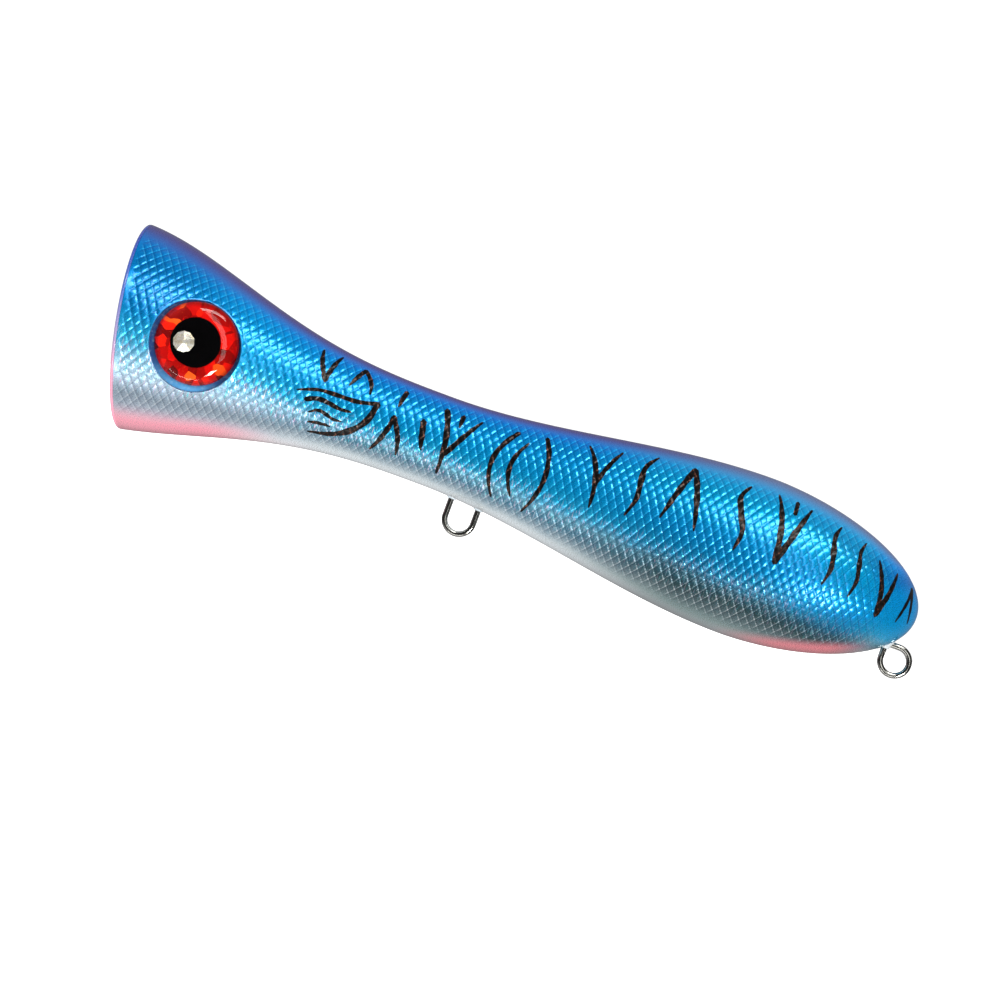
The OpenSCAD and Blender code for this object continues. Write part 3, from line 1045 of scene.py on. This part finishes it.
def lip_finish():
    """The rim's mauve edge and the cup, shaded from blue at the top to pink below."""
    tree = Tree("mouth_paint", Coat_Weight=1.0, Coat_Roughness=0.1)
    _, _, up = tree.axes(tree.place)
    cloud = tree.grain(130, 3.0)
    height = tree.math("MULTIPLY_ADD", cloud, 8.0, tree.math("MULTIPLY", up, 1 / MM))
    share = tree.linear(height, -20.0, 28.0)
    colour = tree.ramp(
        share,
        [(0.0, rgb(240, 140, 165)), (0.25, rgb(218, 146, 172)), (0.45, rgb(150, 136, 178)),
         (0.64, rgb(70, 96, 176)), (0.9, rgb(44, 70, 164))],
    )
    flake = tree.grain(5200, 1.0)
    colour = tree.mix(tree.smooth(flake, 0.56, 0.75, 0.0, 0.25), colour, rgb(240, 235, 245))
    tree.set("Base Color", colour)
    tree.set("Roughness", tree.smooth(flake, 0.35, 0.7, 0.30, 0.45))
    tree.set("Normal", tree.bump(tree.grain(800), 0.3, 0.03))
    return tree.material


def lacquer(name, base, cloud_tone, rough=0.3):
    """Plain gloss lacquer with a faint cloud and an orange-peel surface."""
    tree = Tree(name, Coat_Weight=0.8, Coat_Roughness=0.1)
    cloud = tree.grain(350, 4.0)
    tree.set("Base Color", tree.mix(tree.smooth(cloud, 0.35, 0.7), base, cloud_tone))
    tree.set("Roughness", tree.smooth(cloud, 0.3, 0.7, rough - 0.05, rough + 0.1))
    peel = tree.grain(1500, 2.0)
    tree.set("Normal", tree.bump(peel, 0.3, 0.02))
    return tree.material


def shell_finish():
    """The shells' own blue lacquer, seen only inside the eye sockets, with painted shade: darker at
    the top, lighter below.
    """
    tree = Tree("shell_lacquer", Coat_Weight=0.8, Coat_Roughness=0.12)
    _, _, up = tree.axes(tree.place)
    height = tree.math("MULTIPLY", up, 1 / MM)
    # Painted shade: dark blue at the top of the socket wall, lighter blue lower down where light
    # falls
    tone = tree.mix(tree.smooth(height, -4, -10), rgb(8, 62, 128), rgb(74, 150, 204))
    grain = tree.grain(1400, 3.0)
    speck = tree.smooth(grain, 0.5, 0.8, 0.0, 0.2)
    return tree.dress(grain, tree.mix(speck, tone, rgb(200, 225, 240)), (0.28, 0.42))


def ink_finish():
    """Black ink, with brown painted glints in flecks along the grid's painted highlight."""
    tree = Tree("black_ink", Coat_Weight=0.3, Coat_Roughness=0.12, Specular_IOR_Level=0.15)
    grain = tree.grain(1800, 3.0)
    colour = tree.mix(tree.smooth(grain, 0.4, 0.8), rgb(6, 5, 6), rgb(26, 16, 14))
    tone = tree.node("ShaderNodeAttribute", out="Fac", attribute_name="grid_painted_light")
    # Brown flecks where the grid's painted highlight falls: painted glints on the ink
    ink_glint_share = product(tree, tree.math("MAXIMUM", tone, 0.0), tree.smooth(grain, 0.3, 0.6), 0.75)
    return tree.dress(grain, tree.mix(ink_glint_share, colour, rgb(128, 74, 52)), (0.34, 0.5))


def from_eye_axis(tree):
    """Distance in millimetres from the middle of the eye on either side."""
    along, aside, up = tree.axes(tree.place)
    across = tree.math("ABSOLUTE", aside)
    place = tree.node("ShaderNodeCombineXYZ", {0: along, 1: across, 2: up})
    middle = SOCKET @ np.array([*EYE_SHIFT, FOIL_TOP, 1.0])
    middle = [float(middle[0]) * MM, abs(float(middle[1])) * MM, float(middle[2]) * MM]
    gap = tree.node("ShaderNodeVectorMath", {0: place, 1: middle}, out="Value", operation="DISTANCE")
    return tree.math("MULTIPLY", gap, 1 / MM)


def foil_finish():
    """Red holographic film: broken facets, each with its own red and its own lean."""
    tree = Tree("red_holographic_foil", Specular_IOR_Level=0.05)
    crack = tree.grain(260, 2.0, out=1)
    bent = tree.node(
        "ShaderNodeVectorMath", {0: crack, 1: (0.0026, 0.0026, 0.0026), 2: tree.place},
        operation="MULTIPLY_ADD",
    )
    cells = tree.node("ShaderNodeTexVoronoi", {"Vector": bent, "Scale": 520.0}, out="Color",
                      feature="F1")
    tone = tree.node("ShaderNodeSeparateColor", {0: cells})
    colour = tree.ramp(
        tone,
        [(0.0, rgb(84, 2, 3)), (0.25, rgb(146, 4, 3)), (0.5, rgb(186, 5, 3)),
         (0.75, rgb(222, 9, 4)), (0.94, rgb(246, 24, 6)), (1.0, rgb(255, 96, 26))],
    )
    colour = tree.mix(tree.smooth(from_eye_axis(tree), 7.6, 9.2, 0.0, 0.85), colour, rgb(58, 1, 4))
    fleck = tree.grain(2600, 2.0)
    colour = tree.mix(tree.smooth(fleck, 0.62, 0.76, 0.0, 0.2), colour, rgb(255, 110, 50))
    tree.set("Base Color", colour)
    tree.set("Metallic", tree.smooth(fleck, 0.3, 0.7, 0.2, 0.35))
    tree.set("Roughness", tree.smooth(tone, 0.1, 0.9, 0.26, 0.42))
    tree.set("Normal", tree.bump(tone, 0.6, 0.25))
    return tree.material


def pupil_finish():
    """The dull black film of the pupil."""
    tree = Tree("black_film", Specular_IOR_Level=0.0)
    grain = tree.grain(2500, 2.0)
    colour = tree.mix(grain, rgb(1, 1, 2), rgb(6, 5, 6))
    return tree.dress(grain, colour, (0.25, 0.4), 0.15, 0.01)


def stud_finish():
    """The silver stud on the pupil."""
    tree = Tree("faceted_silver", Metallic=0.85)
    grain = tree.grain(1200, 2.0)
    share = tree.smooth(grain, 0.35, 0.7)
    colour = tree.mix(share, rgb(238, 236, 228), rgb(214, 206, 176))
    return tree.dress(grain, colour, (0.12, 0.24), 0.2)


def glass_finish():
    """Clear cast resin that lets lamps through to the foil."""
    tree = Tree("clear_resin", IOR=1.46, Coat_Weight=0.0, Transmission_Weight=1.0)
    swirl = tree.grain(420, 2.0)
    colour = tree.mix(swirl, (1, 1, 1, 1), (0.96, 0.975, 0.985, 1))
    tree.dress(swirl, colour, (0.0, 0.03), 0.05, span=(0.3, 0.8))
    clear = tree.node("ShaderNodeBsdfTransparent")
    lamp_ray = tree.node("ShaderNodeLightPath", out="Is Shadow Ray")
    both = tree.node("ShaderNodeMixShader", {0: lamp_ray, 1: tree.shader.outputs[0], 2: clear})
    output = tree.graph.nodes["Material Output"]
    tree.graph.links.new(both, output.inputs["Surface"])
    return tree.material


def steel_finish(name, tone, dark_tone, rough, stretch=(900, 900, 900)):
    """Bare steel; stretch sets the scale of its tool marks along each axis."""
    tree = Tree(name, Metallic=1.0)
    draw = tree.noise(tree.scaled(*stretch), 1.0, 4.0, 0.6)
    colour = tree.mix(tree.smooth(draw, 0.3, 0.75), tone, dark_tone)
    return tree.dress(draw, colour, (rough, rough + 0.12), 0.25, span=(0.25, 0.75))


def plastic_finish(name, tone, other, rough, clear=0.0):
    """Moulded plastic or foam with a fine grain; clear is how much light it lets through."""
    tree = Tree(name, Transmission_Weight=clear)
    grain = tree.grain(1600, 3.0)
    return tree.dress(grain, tree.mix(grain, tone, other), (rough, rough + 0.12), 0.2)


def finish_nodes():
    """Gives the CAD nodes that stay their finishes."""
    foil, pupil, stud = foil_finish(), pupil_finish(), stud_finish()
    pad = plastic_finish("pad_foam", rgb(232, 232, 226), rgb(205, 205, 200), 0.7)
    wire = steel_finish("drawn_wire", rgb(206, 204, 200), rgb(158, 156, 154), 0.10)
    ball = steel_finish("polished_ball", rgb(214, 216, 220), rgb(190, 193, 200), 0.06)
    lathe_marks = (4200, 500, 500)
    slug = steel_finish("turned_slug", rgb(150, 152, 156), rgb(110, 112, 116), 0.3, lathe_marks)
    tube = plastic_finish("clear_tube", rgb(240, 245, 248), rgb(225, 235, 240), 0.06, clear=0.9)
    plug = plastic_finish("white_plug", rgb(232, 232, 228), rgb(212, 212, 208), 0.4)
    shell = shell_finish()
    finishes = {
        "shell_left": shell, "shell_right": shell, "through_wire": wire, "belly_hanger": wire,
        "ballast_slug": slug, "tail_weight": slug,
        "rattle_tube": tube, "rattle_plug": plug,
        "rattle_ball_1": ball, "rattle_ball_2": ball, "rattle_ball_3": ball,
    }
    for side in ("left", "right"):
        finishes[f"eye_pad_{side}"] = pad
        finishes[f"iris_foil_{side}"] = foil
        finishes[f"pupil_{side}"] = pupil
        finishes[f"glint_{side}"] = stud
    for name, material in finishes.items():
        data = frame["nodes"][name].data
        data.materials.clear()
        data.materials.append(material)


# ---- Camera, floor and light ----
GLOSS_FRONT = 0.03
GLOSS_BACK = 0.22
GLOSS_BELOW = 0.4
SOFT_LIGHT = 1.0
SOFT_LIGHT_BELOW = 1.55
LENS_LIGHT = 0.5
SEEN_LIGHT = 1.1
LAMP_COLOUR = (0.98, 1.0, 0.95)
LAMP_DISTANCE = 1.2
MIDDLE_X = 92
AIM_X = 92.4
AIM_Z = -7.6
FLOOR_HALF = 4.0
FLOOR_DROP = 0.0003


def camera():
    """Level with the lure's axis on its left, a little towards the tail, and rolled nose-up."""
    distance, width = 560, 228.7
    yaw, roll = math.radians(2), math.radians(20.4)
    aim = Vector((RIM_X + AIM_X, 0, AIM_Z)) * MM
    back = Vector((math.sin(yaw), -math.cos(yaw), 0))
    level = Vector((math.cos(yaw), math.sin(yaw), 0))
    right = level * math.cos(roll) + Vector((0, 0, 1)) * math.sin(roll)
    up = -level * math.sin(roll) + Vector((0, 0, 1)) * math.cos(roll)
    data = bpy.data.cameras.new("camera")
    data.sensor_width = 36
    data.lens = data.sensor_width * distance / width
    data.clip_start, data.clip_end = 0.01, 20
    made = add_object("camera", data)
    turn = Matrix((right, up, back)).transposed().to_4x4()
    made.matrix_world = Matrix.Translation(aim + back * distance * MM) @ turn
    bpy.context.scene.camera = made


def floor():
    """A pale floor just under the lure, hidden from everything but the camera."""
    low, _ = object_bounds()
    mesh = bpy.data.meshes.new("floor")
    half, z = FLOOR_HALF, low.z - FLOOR_DROP
    mesh.from_pydata(
        [(-half, -half, z), (half, -half, z), (half, half, z), (-half, half, z)], [], [(0, 1, 2, 3)]
    )
    tree = Tree(
        "pale_floor", Roughness=0.9, Emission_Color=(1, 1, 1, 1), Emission_Strength=0.8
    )
    cloud = tree.grain(3, 2.0)
    tree.set("Base Color", tree.mix(cloud, (0.90, 0.90, 0.90, 1), (0.94, 0.94, 0.94, 1)))
    mesh.materials.append(tree.material)
    made = add_object("floor", mesh)
    made.visible_glossy = False
    made.visible_diffuse = False
    made.visible_transmission = False
    made.visible_shadow = False
    made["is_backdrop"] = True


def softbox(name, azimuth, elevation, length, height, power, lean=0):
    """A soft lamp that looks at the lure.

    Azimuth runs from the camera's side towards the tail, and lean turns the lamp in its plane.
    """
    a, e = math.radians(azimuth), math.radians(elevation)
    way = Vector((math.sin(a) * math.cos(e), -math.cos(a) * math.cos(e), math.sin(e)))
    data = bpy.data.lights.new(name, "AREA")
    data.shape = "RECTANGLE"
    data.size, data.size_y = length, height
    data.energy = power
    data.color = LAMP_COLOUR
    made = add_object(name, data)
    across = Vector((0, 0, 1)).cross(way).normalized()
    upright = way.cross(across)
    turn = Matrix((across, upright, way)).transposed().to_4x4() @ Matrix.Rotation(
        math.radians(lean), 4, "Z"
    )
    centre = Vector((RIM_X + MIDDLE_X, 0, 0)) * MM
    made.matrix_world = Matrix.Translation(centre + way * LAMP_DISTANCE) @ turn


def world():
    """White to the camera, soft and brighter from below for matt surfaces, and mostly dark for
    gloss, so that wire and clear coat have something to mirror."""
    made = bpy.data.worlds.new("studio")
    bpy.context.scene.world = made
    made.use_nodes = True
    made.node_tree.nodes.clear()
    sky = Graph(made.node_tree)

    def light(strength):
        return sky.node("ShaderNodeBackground", {"Color": (1, 1, 1, 1), "Strength": strength})

    def pick(share, first, second):
        return sky.node("ShaderNodeMixShader", {0: share, 1: first, 2: second})

    _, back, up = sky.axes(sky.node("ShaderNodeTexCoord", out="Generated"))
    behind = sky.smooth(back, -0.1, 0.6, GLOSS_FRONT, GLOSS_BACK)
    below = sky.smooth(up, -0.85, -0.3, GLOSS_BELOW, 0.0)
    soft = sky.smooth(up, -0.8, 0.2, SOFT_LIGHT_BELOW, SOFT_LIGHT)
    path = sky.node("ShaderNodeLightPath").node.outputs
    mirrored = light(sky.math("ADD", behind, below))
    gloss = pick(path["Is Transmission Ray"], mirrored, light(LENS_LIGHT))
    gloss = pick(path["Is Diffuse Ray"], gloss, light(soft))
    seen = pick(path["Is Camera Ray"], gloss, light(SEEN_LIGHT))
    output = sky.graph.nodes.new("ShaderNodeOutputWorld")
    sky.graph.links.new(seen, output.inputs["Surface"])


def studio():
    """The world, four lamps and plain colour settings."""
    world()
    softbox("upper_softbox", 16, 52, 0.76, 0.28, 6.0, lean=20)
    softbox("side_softbox", 17, 20, 0.95, 0.2, 1.4, lean=-63)
    softbox("low_side_softbox", 30, -17, 0.18, 0.26, 5.4)
    softbox("lower_softbox", 0, -48, 0.95, 0.16, 2.2)
    settings = bpy.context.scene.view_settings
    settings.view_transform = "Standard"
    settings.look = "None"
    settings.exposure = 0
    settings.gamma = 1


paint = painted_finish()
white_paint = lacquer("white_paint", rgb(196, 200, 204), rgb(170, 178, 186))
painted_skins(paint, ink_finish())
mouth_lining(lip_finish())
collars(lacquer("silver_paint", rgb(190, 200, 208), rgb(160, 172, 182)), white_paint)
glass = glass_finish()
eye_lens("left", 1, glass)
eye_lens("right", -1, glass)
finish_nodes()
camera()
floor()
studio()
